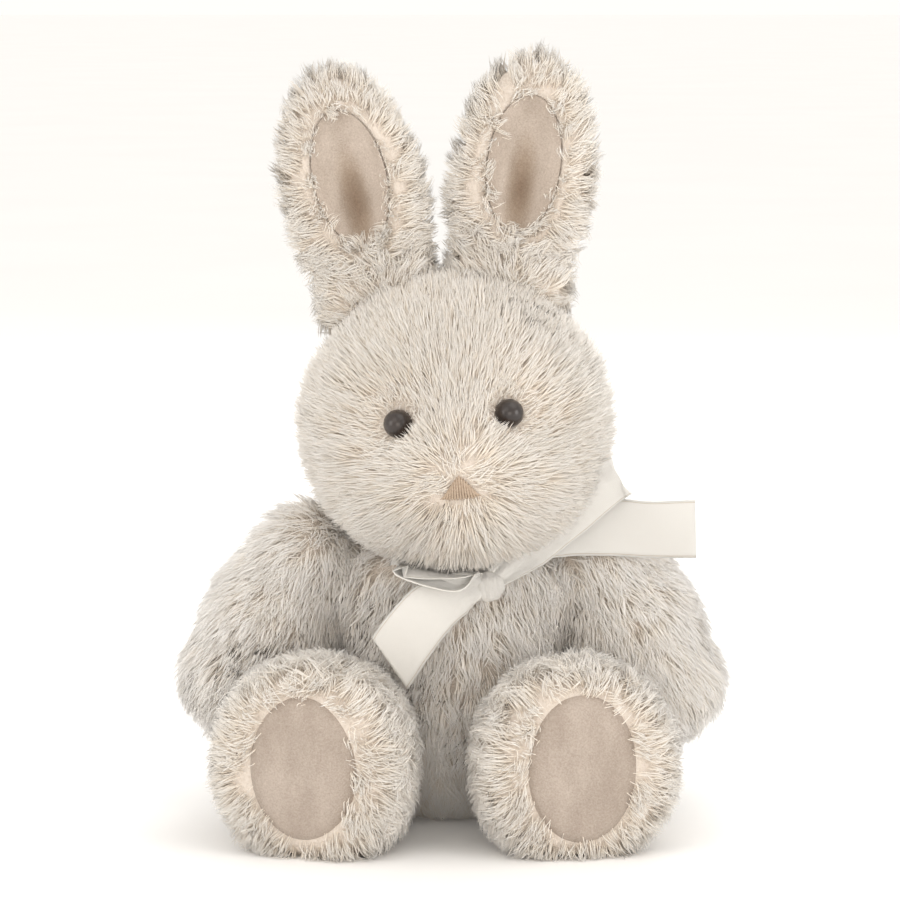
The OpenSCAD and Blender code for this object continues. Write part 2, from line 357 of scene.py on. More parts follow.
def skin(name, surface, body, nodes):
    """The cloth and dense base of one padded part."""
    obj = mesh_piece(name, *surface, BACKING)
    attach(obj, body, nodes)
    return surface


# ---- fur ----

RINGS = np.array([0.0, 0.36, 0.72, 1.0])  # along a strand; the last is its tip
RING_WIDTH = np.array([0.9, 1.0, 0.75])
PILE_RELIEF, TIP_LEAN = 0.9, 0.7  # how far a strand's own shape turns the normals of the skin
TUCK = 0.5  # how deep a strand starts under the skin
LOWEST = 0.4  # strands stop this far above the floor


def scatter(points, faces, count, keep, rng):
    """Random places spread evenly over the triangles, thinned to those that keep() allows."""
    a, b, c = (points[faces[:, i]] for i in range(3))
    area = np.linalg.norm(np.cross(b - a, c - a), axis=1)
    pick = rng.choice(len(faces), size=count * 3, p=area / area.sum())
    u, v = rng.random((2, len(pick), 1))
    flip = u + v > 1
    u, v = np.where(flip, 1 - u, u), np.where(flip, 1 - v, v)
    p = a[pick] + u * (b - a)[pick] + v * (c - a)[pick]
    return p[keep(p)][:count]


def bend(t, first, last):
    """A strand's path that leaves along first and ends along last."""
    t = t[None, :, None]
    return first[:, None] * (t - t * t / 2) + last[:, None] * (t * t / 2)


def stance(normal, comb, lift):
    """The directions in which a strand leaves the skin and ends."""
    lift = lift[:, None]
    return unit(normal + (1.3 - lift) * comb), unit((0.7 * lift - 0.1) * normal + comb)


def tufts(form, where, groom, seed, per_tuft, spread, width, clump, wave, frizz, pale):
    """Strands of fur in tufts: arrays of ring centres, half widths, tone and the skin's normal.

    clump draws a tuft's strands together, wave sways them from side to side and frizz scatters their directions.
    """
    rng = np.random.default_rng(seed)
    n = len(where)
    where = onto(form, where, 1)
    normal = unit(gradient(form, where))
    comb, lift, length = groom(where)
    comb = comb + rng.normal(0, frizz, comb.shape)
    comb = unit(comb - (comb * normal).sum(-1, keepdims=True) * normal)
    length = length * rng.uniform(0.82, 1.18, n)
    lead_first, lead_last = stance(normal, comb, lift)
    lead = where[:, None] + length[:, None, None] * bend(RINGS, lead_first, lead_last)
    side = np.cross(normal, comb)
    phase = rng.uniform(0, 6.28, n)

    k = per_tuft
    rep = lambda x: np.repeat(x, k, axis=0)
    offset = rng.normal(0, spread, (n * k, 2))
    root = rep(where) + offset[:, :1] * rep(comb) + offset[:, 1:] * rep(side)
    root = onto(form, root, 2)
    off = root - rep(where)
    own_normal = unit(rep(normal) + off * 0.02)
    own_comb = rep(comb) + rng.normal(0, frizz * 0.8, (n * k, 3))
    own_length = rep(length) * rng.uniform(0.72, 1.12, n * k)
    first, last = stance(own_normal, own_comb, rep(lift))
    own = root[:, None] + own_length[:, None, None] * bend(RINGS, first, last)
    pull = (clump * RINGS ** 1.2)[None, :, None]
    path = own * (1 - pull) + (rep(lead) + 0.22 * off[:, None]) * pull
    sway = np.sin(RINGS[None] * 5.0 + rep(phase)[:, None]) - np.sin(rep(phase))[:, None]
    path = path + (wave * RINGS[None] * sway)[..., None] * rep(side)[:, None]
    path[..., 2] = np.maximum(path[..., 2], LOWEST)
    # pale is the middle tone of a part's strands; the torso and arms are given lighter fur as painted light,
    # standing in for the light that the head and feet keep off them
    tone = rep(rng.normal(pale, 0.11, n)) + rng.normal(0, 0.07, n * k)
    half = width / 2 * rng.uniform(0.75, 1.25, n * k)
    path = path - TUCK * own_normal[:, None] * (RINGS == 0)[None, :, None]
    return path, half, np.clip(tone, 0.02, 0.97), own_normal


def strands(name, path, half, tone, normal, material, body):
    """One mesh of closed, tapering, three-sided strands, shaded mostly as the pile they make."""
    n, rings = len(path), len(RINGS) - 1
    along = unit(np.gradient(path, axis=1))[:, :rings]
    across = unit(np.cross(along, np.array([0.31, 0.52, 0.79])))
    third = np.cross(along, across)
    verts = np.empty((n, rings * 3 + 1, 3), np.float32)
    shade = np.empty((n, rings * 3 + 1, 3), np.float32)
    pile = normal[:, None] + TIP_LEAN * RINGS[None, :rings, None] * along
    wide = (half[:, None] * RING_WIDTH[None])[..., None]
    for i in range(3):
        a = 2 * math.pi * i / 3
        out = math.cos(a) * across + math.sin(a) * third
        verts[:, i:rings * 3:3] = path[:, :rings] + wide * out
        shade[:, i:rings * 3:3] = unit(pile + PILE_RELIEF * out)
    verts[:, -1] = path[:, -1]
    shade[:, -1] = unit(pile[:, -1])
    faces = [(0, 2, 1)]
    for r in range(rings - 1):
        for i in range(3):
            j = (i + 1) % 3
            a, b = 3 * r + i, 3 * r + j
            faces += [(a, b, b + 3), (a, b + 3, a + 3)]
    top = 3 * (rings - 1)
    faces += [(top + i, top + (i + 1) % 3, top + 3) for i in range(3)]
    faces = np.array(faces)
    per = rings * 3 + 1
    loops = (faces.ravel()[None] + per * np.arange(n)[:, None]).ravel().astype(np.int32)
    mesh = bpy.data.meshes.new(name)
    mesh.vertices.add(n * per)
    mesh.vertices.foreach_set("co", (verts * MM).ravel())
    mesh.loops.add(len(loops))
    mesh.loops.foreach_set("vertex_index", loops)
    mesh.polygons.add(len(loops) // 3)
    mesh.polygons.foreach_set("loop_start", np.arange(0, len(loops), 3, dtype=np.int32))
    mesh.update(calc_edges=True)
    level = np.append(np.repeat(RINGS[:rings], 3), 1.0)
    spot = np.append(np.tile([0, 0.006, 0.012], rings), 0.006)
    uv = np.empty((n, per, 2), np.float32)
    uv[..., 0] = tone[:, None] + spot[None]
    uv[..., 1] = level[None] * 0.98 + 0.01
    layer = mesh.uv_layers.new(name="OFBake")
    layer.data.foreach_set("uv", uv.reshape(-1, 2)[loops].ravel())
    finish_mesh(mesh, material)
    mesh.normals_split_custom_set_from_vertices(shade.reshape(-1, 3))
    obj = link(name, mesh)
    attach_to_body(obj, body)


# ---- materials ----

class Nodes:
    """A material's node tree with short ways to add to it."""

    def __init__(self, name, **sockets):
        self.material = bpy.data.materials.new(name)
        self.material.use_nodes = True
        self.tree = self.material.node_tree
        self.shader = self.tree.nodes["Principled BSDF"]
        for key, value in sockets.items():
            self.shader.inputs[key.replace("_", " ")].default_value = value

    def add(self, kind, links=(), **values):
        node = self.tree.nodes.new(kind)
        for key, value in values.items():
            setattr(node, key, value)
        for key, value in dict(links).items():
            if isinstance(value, bpy.types.NodeSocket):
                self.tree.links.new(value, node.inputs[key])
            else:
                node.inputs[key].default_value = value
        return node

    def to(self, name, socket):
        self.tree.links.new(socket, self.shader.inputs[name])

    def coords(self):
        return self.add("ShaderNodeTexCoord").outputs["Object"]

    def noise(self, scale, detail=3, rough=0.55, stretch=None):
        where = self.coords()
        if stretch:
            where = self.add("ShaderNodeMapping", {"Vector": where, "Scale": stretch}).outputs[0]
        return self.add("ShaderNodeTexNoise", {"Vector": where, "Scale": scale, "Detail": detail,
                                               "Roughness": rough}).outputs["Fac"]

    def ramp(self, socket, stops):
        node = self.add("ShaderNodeValToRGB", {"Fac": socket})
        elements = node.color_ramp.elements
        while len(elements) < len(stops):
            elements.new(0.5)
        for element, (at, colour) in zip(elements, stops):
            element.position = at
            element.color = (*colour, 1)
        return node.outputs["Color"]

    def mix(self, factor, a, b, mode="MIX"):
        node = self.add("ShaderNodeMix", {0: factor, 6: a, 7: b}, data_type="RGBA", blend_type=mode)
        return node.outputs[2]

    def bump(self, socket, distance):
        node = self.add("ShaderNodeBump", {"Height": socket, "Distance": distance, "Strength": 1.0})
        self.to("Normal", node.outputs[0])


def fur_material():
    m = Nodes("fur_fibre", Roughness=0.7, Sheen_Weight=0.15, Sheen_Roughness=0.5, Subsurface_Weight=0.35,
              Subsurface_Radius=(1, 1, 1), Subsurface_Scale=0.0004)
    uv = m.add("ShaderNodeUVMap", uv_map="OFBake").outputs["UV"]
    split = m.add("ShaderNodeSeparateXYZ", {"Vector": uv})
    tone = m.ramp(split.outputs["X"], [(0.0, (0.76, 0.665, 0.565)), (0.3, (0.85, 0.79, 0.71)),
                                       (0.6, (0.905, 0.86, 0.795)), (1.0, (0.985, 0.96, 0.925))])
    # painted shade: each strand is darker and warmer towards its root, as the shade deep in the pile
    painted_root_shade = m.ramp(split.outputs["Y"], [(0.0, (0.88, 0.795, 0.715)), (0.4, (0.97, 0.925, 0.87)), (0.8, (1, 1, 1))])
    m.to("Base Color", m.mix(1.0, tone, painted_root_shade, "MULTIPLY"))
    return m.material


def backing_material():
    m = Nodes("fur_backing", Roughness=0.9)
    fine = m.noise(900, 4)
    # painted shade: the cloth under the pile is a darker, duller cream than the fibres, so bare gaps between tufts
    # read as shade deep in the pile
    m.to("Base Color", m.ramp(fine, [(0.3, (0.66, 0.575, 0.495)), (0.7, (0.77, 0.695, 0.62))]))
    m.bump(fine, 0.0008)
    return m.material


def velour_material(name, deep, pale, painted_fold_shade=False):
    """Brushed velour, with painted shade that darkens it along the fold of an ear's cup when asked for."""
    m = Nodes(name, Roughness=0.85, Sheen_Weight=0.35, Sheen_Roughness=0.4)
    nap = m.noise(1500, 5, 0.65)
    brushed = m.noise(120, 3, 0.5, (1, 1, 0.45))
    colour = m.ramp(nap, [(0.25, deep), (0.75, pale)])
    shade = m.ramp(brushed, [(0.3, (0.80, 0.78, 0.76)), (0.7, (1, 1, 1))])
    colour = m.mix(1.0, colour, shade, "MULTIPLY")
    if painted_fold_shade:
        # painted shade: a darker brown round the fold low in the ear's cup, where shade falls in the hollow
        uv = m.add("ShaderNodeUVMap", uv_map="OFBake").outputs["UV"]
        scale, fold_u, fold_v = (3.9, 2.0, 1), 0.5, 0.31
        shift = (-fold_u * scale[0], -fold_v * scale[1], 0)
        near = m.add("ShaderNodeMapping", {"Vector": uv, "Location": shift, "Scale": scale})
        far = m.add("ShaderNodeVectorMath", {"Vector": near.outputs[0]}, operation="LENGTH").outputs["Value"]
        fold = m.ramp(far, [(0.0, (0.56, 0.47, 0.39)), (0.45, (0.74, 0.68, 0.61)), (0.95, (1, 1, 1))])
        colour = m.mix(1.0, colour, fold, "MULTIPLY")
    m.to("Base Color", colour)
    m.bump(m.mix(0.35, nap, brushed), 0.0006)
    return m.material


def satin_material():
    m = Nodes("satin_ribbon", Roughness=0.38, Sheen_Weight=0.2, Sheen_Roughness=0.3, Coat_Weight=0.08,
              Coat_Roughness=0.3)
    uv = m.add("ShaderNodeUVMap", uv_map="OFBake").outputs["UV"]
    split = m.add("ShaderNodeSeparateXYZ", {"Vector": uv})
    edge = m.add("ShaderNodeMath", {0: split.outputs["Y"], 1: 0.5}, operation="SUBTRACT")
    edge = m.add("ShaderNodeMath", {0: edge.outputs[0]}, operation="ABSOLUTE")
    band = m.ramp(edge.outputs[0], [(0.45, (1, 1, 1)), (0.462, (0.78, 0.72, 0.64)), (0.475, (1, 1, 1))])
    weave = m.add("ShaderNodeTexWave", {"Vector": uv, "Scale": 60.0, "Distortion": 0.4},
                  bands_direction="Y").outputs["Fac"]
    thread = m.ramp(weave, [(0.2, (0.90, 0.88, 0.83)), (0.8, (0.96, 0.945, 0.91))])
    m.to("Base Color", m.mix(1.0, thread, band, "MULTIPLY"))
    m.bump(weave, 0.00006)
    return m.material


def eye_material():
    m = Nodes("eye_gloss", Roughness=0.32, Coat_Weight=0.35, Coat_Roughness=0.03)
    cloud = m.noise(260, 2)
    m.to("Base Color", m.ramp(cloud, [(0.3, (0.014, 0.008, 0.006)), (0.7, (0.028, 0.017, 0.013))]))
    return m.material


def plain_material(name, deep, pale, scale, rough, height):
    m = Nodes(name, Roughness=rough)
    grain = m.noise(scale, 4)
    m.to("Base Color", m.ramp(grain, [(0.3, deep), (0.7, pale)]))
    m.bump(grain, height)
    return m.material


FUR = fur_material()
BACKING = backing_material()
PAD_VELOUR = velour_material("pad_velour", (0.36, 0.295, 0.245), (0.55, 0.475, 0.415))
# the ear lining gets the painted shade along its fold
EAR_VELOUR = velour_material("ear_velour", (0.43, 0.355, 0.295), (0.65, 0.57, 0.50), True)
NOSE_THREAD = plain_material("nose_thread", (0.36, 0.265, 0.19), (0.52, 0.41, 0.31), 1400, 0.7, 0.0004)
SATIN = satin_material()
EYE = eye_material()
STUFFING = plain_material("stuffing_fibre", (0.80, 0.79, 0.76), (0.93, 0.93, 0.91), 420, 0.95, 0.002)
POUCH = plain_material("pouch_cloth", (0.62, 0.60, 0.54), (0.78, 0.76, 0.70), 1100, 0.9, 0.0005)
WASHER = plain_material("washer_plastic", (0.78, 0.78, 0.75), (0.84, 0.84, 0.82), 300, 0.45, 0.0001)
LABEL = plain_material("label_tape", (0.84, 0.83, 0.80), (0.92, 0.91, 0.89), 1600, 0.55, 0.0002)

for node, obj in frame["nodes"].items():
    look = POUCH if "pouch" in node else WASHER if "washer" in node else LABEL if "label" in node else STUFFING
    obj.data.materials.clear()
    obj.data.materials.append(look)


# ---- skins ----

torso_mesh = skin("torso_skin", star_surface(torso_form, (0, -4, 62), (1, 1, 1.3)), "torso",
                  ["torso_front_panel", "torso_back_left_panel", "torso_back_right_panel"])
head_mesh = skin("head_skin", star_surface(head_form, HEAD.world(HEAD_C), (1, 1, 1)), "head",
                 ["head_left_panel", "head_right_panel", "head_crown_strip"])
tail_mesh = skin("tail_skin", star_surface(tail_form, TAIL_C, (1, 1, 1), 4), "torso", ["tail_fur"])
arm_mesh, leg_mesh, ear_mesh = {}, {}, {}
for s in SIDES:
    middle = ARMS[s].origin + 0.5 * ARM_L * ARM_DIR[s]
    arm_mesh[s] = skin(f"{s}_arm_skin", star_surface(arm_form(s), middle, (1.2, 1, 1.8)), f"{s}_arm",
                       [f"{s}_arm_outer_panel", f"{s}_arm_inner_panel"])
    middle = LEGS[s].world(np.array([0, -40, -2.0]))
    leg_mesh[s] = skin(f"{s}_leg_skin", star_surface(leg_form(s), middle, (1, 1.6, 1)), f"{s}_leg",
                       [f"{s}_leg_outer_panel", f"{s}_leg_inner_panel"])
    ear_mesh[s] = skin(f"{s}_ear_skin", flat_surface(ear_form(s), EARS[s], EAR_MID, 7.0), f"{s}_ear",
                       [f"{s}_ear_fur"])


# ---- velour pads and ear linings ----

def foot_pad(side):
    """A crowned oval of velour sewn over the sole, tucked in at its edge."""
    disc, faces = oval_grid(16, 64)
    r = np.linalg.norm(disc, axis=1)
    local = np.empty((len(disc), 3))
    local[:, 0] = disc[:, 0] * (PAD_R[0] + PAD_TUCK)
    local[:, 2] = disc[:, 1] * (PAD_R[1] + PAD_TUCK) + PAD_Z
    crown = PAD_CROWN * np.clip(1 - r ** 2.4, 0, 1) ** 0.8
    ripple = 0.35 * np.sin(disc[:, 0] * 5 + disc[:, 1] * 3 + SIDES[side]) * np.clip(1 - r, 0, 1) * 2
    local[:, 1] = SOLE_Y - 0.2 - crown - ripple + 1.5 * np.clip(r - 0.93, 0, 1) / 0.07
    obj = mesh_piece(f"{side}_foot_pad_velour", LEGS[side].world(local), faces, PAD_VELOUR)
    attach(obj, f"{side}_leg", [f"{side}_foot_pad"])


def ear_lining(side):
    """Velour that follows the cup of the ear."""
    disc, faces = oval_grid(28, 72)
    local = np.empty((len(disc), 3))
    local[:, 0] = disc[:, 0] * LINING_R[0]
    local[:, 2] = disc[:, 1] * LINING_R[1] + DISH_C[2]
    local[:, 1] = ear_cup(local[:, 0], local[:, 2]) - LINING_LIFT
    obj = mesh_piece(f"{side}_ear_lining_velour", EARS[side].world(local), faces, EAR_VELOUR, 0.5 + 0.5 * disc)
    attach(obj, f"{side}_ear", [f"{side}_ear_lining"])


for s in SIDES:
    foot_pad(s)
    ear_lining(s)


# ---- eyes and nose ----

def lathe(profile, spokes, place, material, name):
    """A turned shape: profile is (radius, height) from the rim to the top."""
    profile = np.array(profile, float)
    a = np.linspace(0, 2 * math.pi, spokes, endpoint=False)
    rows = [np.stack([r * np.cos(a), r * np.sin(a), np.full(spokes, h)], axis=1) for r, h in profile[:-1]]
    points = np.concatenate([*rows, [[0, 0, profile[-1, 1]]]])
    faces = []
    for i in range(len(rows) - 1):
        for j in range(spokes):
            k = (j + 1) % spokes
            faces.append((i * spokes + j, i * spokes + k, (i + 1) * spokes + k, (i + 1) * spokes + j))
    last = (len(rows) - 1) * spokes
    faces += [(last + j, last + (j + 1) % spokes, len(points) - 1) for j in range(spokes)]
    faces.append(tuple(range(spokes))[::-1])
    return mesh_piece(name, place.world(points), faces, material)


for s, k in SIDES.items():
    turn = turn_about("Z", k * EYE_TURN) @ turn_about("X", 90 - EYE_LIFT)
    at = Place(eye_centre(k, HEAD_R + EYE_PROUD), turn, HEAD)
    arc = np.linspace(0, math.pi / 2, 12)
    dome = [(EYE_R * 0.9, -4.0), (EYE_R, -1.0)] + [(EYE_R * math.cos(t), EYE_DOME * math.sin(t)) for t in arc]
    eye = lathe(dome, 48, at, EYE, f"{s}_eye_dome")
    attach(eye, "head", [f"{s}_eye"])


def nose():
    """Satin stitches side by side that fill a rounded triangle, over a padded base."""
    points, faces = [], []
    stitches, rings, spokes = 15, 9, 6
    thread, thread_end = 0.5, 0.15
    for i in range(stitches):
        x = (i - (stitches - 1) / 2) / ((stitches - 1) / 2)
        top = 5.0 - 7.0 * abs(x) ** 1.25
        low = -4.3 + 0.9 * x * x
        for j in range(rings):
            v = j / (rings - 1)
            z = low + (top - low) * v
            swell = math.sin(math.pi * v) ** 0.6 * (1 - 0.55 * x * x)
            fat = thread if 0 < j < rings - 1 else thread_end
            for q in range(spokes):
                a = 2 * math.pi * q / spokes
                points.append((x * (7.4 - 1.8 * v) + fat * math.cos(a), -1.8 - 1.7 * swell - fat * math.sin(a), z))
        base = i * rings * spokes
        for j in range(rings - 1):
            for q in range(spokes):
                a, b = base + j * spokes + q, base + j * spokes + (q + 1) % spokes
                faces.append((a, b, b + spokes, a + spokes))
        faces.append(tuple(base + q for q in range(spokes - 1, -1, -1)))
        faces.append(tuple(base + (rings - 1) * spokes + q for q in range(spokes)))
    at = Place(NOSE_C + [0, 0.6 - UNDERCOAT, 0.5], None, HEAD)
    obj = mesh_piece("nose_stitches", at.world(np.array(points)), faces, NOSE_THREAD)
    attach(obj, "head", ["nose_stitching"])


nose()


# ---- ribbon ----

def spline(knots, count):
    """A smooth path through points, at even steps of its parameter."""
    k = np.array(knots, float)
    k = np.concatenate([[2 * k[0] - k[1]], k, [2 * k[-1] - k[-2]]])
    out = []
    for t in np.linspace(0, len(knots) - 1 - 1e-6, count):
        i, f = int(t), t - int(t)
        a, b, c, d = k[i:i + 4]
        out.append(0.5 * (2 * b + (c - a) * f + (2 * a - 5 * b + 4 * c - d) * f ** 2
                          + (3 * b - a - 3 * c + d) * f ** 3))
    return np.array(out)


def ribbon(name, path, across, widths, node, cut=0.0, count=48, strips=10, ruffle=0.0):
    """A strip of satin: path is its centreline, across its width's direction, both through named points."""
    line = spline(path, count)
    along = unit(np.gradient(line, axis=0))
    wide = spline(across, count)
    wide = unit(wide - (wide * along).sum(-1, keepdims=True) * along)
    t = np.linspace(0, 1, count)
    w = np.interp(t, np.linspace(0, 1, len(widths)), widths)
    u = np.linspace(-0.5, 0.5, strips + 1)
    face = unit(np.cross(along, wide))
    slant = cut * np.clip((t - 0.7) / 0.3, 0, 1)
    points = (line[:, None] + wide[:, None] * (w[:, None] * u)[..., None]
              + along[:, None] * (slant[:, None] * u * 2)[..., None])
    crimp = ruffle * (1 - w / RIBBON_W)[:, None] * np.cos(u * 4 * math.pi)
    crimp = crimp + 0.5 * np.cos(u * math.pi)[None] * np.sin(t * 9)[:, None]
    points = points + face[:, None] * crimp[..., None]
    n = strips + 1
    faces = [(i * n + j, i * n + j + 1, (i + 1) * n + j + 1, (i + 1) * n + j)
             for i in range(count - 1) for j in range(strips)]
    uv = np.stack(np.broadcast_arrays(t[:, None], u[None] + 0.5), axis=-1).reshape(-1, 2)
    obj = mesh_piece(name, points.reshape(-1, 3), faces, SATIN, uv)
    solid = obj.modifiers.new("thickness", "SOLIDIFY")
    solid.thickness, solid.offset = RIBBON_THICK * MM, 0
    attach(obj, "torso", [node])


def from_knot(*points):
    return [KNOT + np.array(p, float) for p in points]


UP, BACK = (0, 0, 1), (0, 1, 0)
ribbon("ribbon_front_tail",
       from_knot((-2, -4, 1), (-10, -8, -1), (-20.4, -9.5, -6.7), (-29, -11, -16.5), (-36.3, -11, -27.3)),
       [(0.1, 0.1, 1), (-0.2, 0, 1), (-0.55, 0, 0.85), (-0.75, -0.05, 0.66), (-0.79, -0.05, 0.61)],
       (9, 16, 21, 22, 22), "ribbon_right_tail", cut=-4.5, ruffle=1.0)
ribbon("ribbon_side_tail",
       from_knot((4, 3, 3), (14, 7, 13), (26, 11, 19.5), (45, 13, 20.5), (62, 13, 19.5), (79, 11, 20)),
       [(0, 0.2, 1), (-0.5, 0.2, 1), (-0.1, 0.1, 1), (0, 0.05, 1), (0, -0.1, 1), (0, 0.1, 1)],
       (8, 15, 21, 22, 22, 22), "ribbon_left_tail", ruffle=1.0)
ribbon("ribbon_side_loop",
       from_knot((3, 0, 3), (16, 5, 14), (32, 9, 28), (44, 10, 37), (50, 11, 40), (45, 14, 37), (28, 14, 24),
                 (3, 4, 4)),
       [(-0.4, 0.3, 1), (-0.5, 0.2, 1), (-0.55, 0.1, 1), (-0.6, 0, 1), (-0.6, 0, 0.9), (-0.6, 0, 1), (-0.5, 0, 1),
        (-0.4, 0.3, 1)],
       (8, 17, 20, 18, 16, 18, 18, 8), "ribbon_left_loop", count=80, ruffle=1.2)
ribbon("ribbon_front_loop",
       from_knot((-3, -2, 3), (-12, -7, 2), (-24, -10, 6), (-33, -11, 10), (-25, -9, 9), (-12, -4, 6), (-3, 0, 3)),
       [(0, -0.6, 0.8), (0, -0.9, -0.2), (0, -0.9, -0.35), (0, -0.9, -0.4), (0, -0.9, -0.35), (0, -0.9, 0),
        (0, -0.6, 0.8)],
       (7, 12, 15, 15, 15, 12, 7), "ribbon_right_loop", count=64, ruffle=1.0)


def neck_band():
    """The ribbon round the neck, gathered to a narrow band."""
    lo, hi = box_mm("ribbon_neck_band")
    mid, reach = (lo + hi) / 2, (hi - lo) / 2
    a = np.linspace(0, 2 * math.pi, 65)
    turn = np.array(turn_about("X", 8))
    path = mid + np.stack([reach[0] * np.cos(a), reach[0] * np.sin(a), 0 * a], axis=1) @ turn.T
    across = [turn @ np.array([0.15 * math.cos(x), 0.15 * math.sin(x), 1]) for x in a]
    ribbon("ribbon_band", path, across, (10, 10), "ribbon_neck_band", count=129, strips=6, ruffle=1.2)


neck_band()


def knot():
    """The wrapped knot: a tight, creased roll of ribbon."""
    p, faces = sphere(4)
    pleat = 1 + 0.06 * np.sin(p[:, 0] * 14 + p[:, 2] * 3) * np.clip(1 - p[:, 2] ** 2, 0, 1)
    waist = 1 - 0.16 * np.exp(-((np.abs(p[:, 2]) - 1) / 0.35) ** 2)
    shape = p * KNOT_R * (pleat * waist)[:, None]
    uv = np.stack([0.5 + 0.4 * p[:, 0], 0.5 + 0.35 * p[:, 2]], axis=1)
    obj = mesh_piece("ribbon_knot_wrap", KNOT + shape, faces, SATIN, uv)
    attach(obj, "torso", ["ribbon_knot"])


knot()


# ---- grooms: comb direction, lift and length of the fur at places on each part ----

def away_from(p, c):
    return unit(p - c)


def fade(x, lo, hi):
    t = np.clip((x - lo) / (hi - lo), 0, 1)
    return t * t * (3 - 2 * t)


def head_groom(p):
    """Combed out from the nose, long and flat on the muzzle, short round the eyes and the nose."""
    q = HEAD.local(p)
    comb = away_from(q, NOSE_C + [0, 5, 3]) + np.array([0, 0.2, 0])
    muzzle = 1 - fade(np.linalg.norm(q - MUZZLE_C, axis=1), 24, 42)
    cheek = fade(np.abs(q[:, 0]), 20, 44) * (1 - fade(q[:, 2], 62, 84))
    below = fade(NOSE_C[2] + 4 - q[:, 2], 0, 10)
    length = 11 + 3.0 * cheek + 3.0 * muzzle * below
    lift = 0.4 + 0.15 * cheek - 0.15 * muzzle
    for k in SIDES.values():
        e = eye_centre(k)
        d = np.linalg.norm(q - e, axis=1)
        close = 1 - fade(d, 6, 15)
        length = np.minimum(length, 2.2 + 0.6 * np.maximum(d - EYE_R, 0))
        comb = comb * (1 - close)[:, None] + close[:, None] * away_from(q, e) * 1.2
    bridge = np.linalg.norm((q - NOSE_C) * [1, 1, 0.8], axis=1)
    length = length * (0.4 + 0.6 * fade(bridge, 5, 16 - 8 * below))
    return HEAD.turned(comb), lift, length


def torso_groom(p):
    comb = np.tile([0.0, 0, -1.0], (len(p), 1)) + 0.35 * unit(p * [1, 1, 0])
    length = 14 - 5.0 * fade(p[:, 2], 90, 106)
    return comb, np.full(len(p), 0.5), length


def arm_groom(side):
    a = ARMS[side].origin

    def groom(p):
        t = ((p - a) @ ARM_DIR[side]) / ARM_L
        comb = np.tile(ARM_DIR[side], (len(p), 1)) + np.array([0, 0, -0.25])
        return comb, 0.6 - 0.15 * fade(t, 0.2, 1), 12 + 1.5 * fade(t, 0.3, 1)
    return groom


def pad_oval(q):
    return np.hypot(q[:, 0] / PAD_R[0], (q[:, 2] - PAD_Z) / PAD_R[1])


def leg_groom(side):
    place = LEGS[side]

    def groom(p):
        q = place.local(p)
        out = (q - [0, 0, PAD_Z]) * [1, 0, 1]
        near = fade(-q[:, 1], 20, 62)
        comb = place.turned(unit(out) * (0.5 + 0.5 * near)[:, None] + np.array([0, -0.25, 0]) * near[:, None])
        comb = comb + np.array([0, 0, -0.35]) * (1 - near)[:, None]
        front = fade(-q[:, 1], 58, 66)
        edge = front * (1 - fade(pad_oval(q), 1.0, 1.4))
        comb = comb * (1 - 0.85 * edge)[:, None] + edge[:, None] * np.array([0, 0, -0.2])
        return comb, 0.5 + 0.1 * near + 0.6 * edge, 10 - 0.8 * front - 2.0 * edge
    return groom


def lining_oval(q):
    return np.hypot(q[:, 0] / (LINING_R[0] + 0.2), (q[:, 2] - DISH_C[2]) / (LINING_R[1] + 0.5))


def ear_groom(side):
    """Combed out and up from the lining, with the fur below it swept up over its end."""
    place = EARS[side]

    def groom(p):
        q = place.local(p)
        out = (q - DISH_C) * [1, 0, 1]
        comb = unit(out / [20, 1, 40]) + np.array([0, 0, 0.35])
        behind = fade(q[:, 1], 0, 3)[:, None]
        comb = comb * (1 - behind) + behind * (q * [0.03, 0, 0] + [0, 0, 1])
        low = 1 - fade(q[:, 2], 12, 28)
        front = fade(-q[:, 1], 1, 4)
        comb = comb + np.array([0, 0, -0.35]) * (low * (1 - front))[:, None]
        comb = comb + (front * low)[:, None] * np.array([0, 0, 1.1])
        edge = front * (1 - fade(lining_oval(q), 1.0, 1.35))
        comb = comb * (1 - 0.8 * edge)[:, None]
        return place.turned(comb), 0.5 + 0.5 * edge, 9.5 - 1.2 * front - 2.0 * edge
    return groom


def tail_groom(p):
    return unit(p - TAIL_C) + np.array([0, 0.2, -0.4]), np.full(len(p), 1.2), np.full(len(p), 12.0)


# ---- fur pieces ----

def everywhere(p):
    return np.ones(len(p), bool)


def fur(prefix, form, mesh, body, groom, count, keep, panels, seed, per_tuft=10, spread=2.0, width=0.38,
        clump=0.62, wave=0.5, frizz=0.22, pale=0.5):
    """Tufts over a skin, split into one piece for each panel of fabric."""
    rng = np.random.default_rng(seed)
    where = scatter(*mesh, count // per_tuft, keep, rng)
    for i, (name, test) in enumerate(panels.items()):
        mine = where[test(where)]
        pile = tufts(form, mine, groom, seed + 100 * (i + 1), per_tuft, spread, width, clump, wave, frizz, pale)
        strands(f"{prefix}{name}_pile", *pile, FUR, body)


CROWN_HALF = 12.0
TORSO_SEAM_Y = -4.0
ARM_SEAM_SLOPE = 0.67


def on_crown(p):
    q = HEAD.local(p)
    return (np.abs(q[:, 0]) < CROWN_HALF) & (q[:, 2] > NOSE_C[2] + 6)


def head_part(side, first, last):
    """A stretch of one side panel of the head, from front to back."""
    def test(p):
        q = HEAD.local(p)
        return ~on_crown(p) & (side * q[:, 0] >= 0) & (q[:, 1] >= first) & (q[:, 1] < last)
    return test


def torso_part(side, front):
    return lambda p: ((p[:, 1] < TORSO_SEAM_Y) == front) & (side * p[:, 0] >= 0)


def arm_part(side, outer):
    """One side of the arm's seam, which slopes down and out."""
    def test(p):
        q = p - ARMS[side].origin
        return (SIDES[side] * q[:, 0] + ARM_SEAM_SLOPE * q[:, 2] >= 0) == outer
    return test


def leg_part(side, outer):
    return lambda p: (SIDES[side] * LEGS[side].local(p)[:, 0] >= 0) == outer


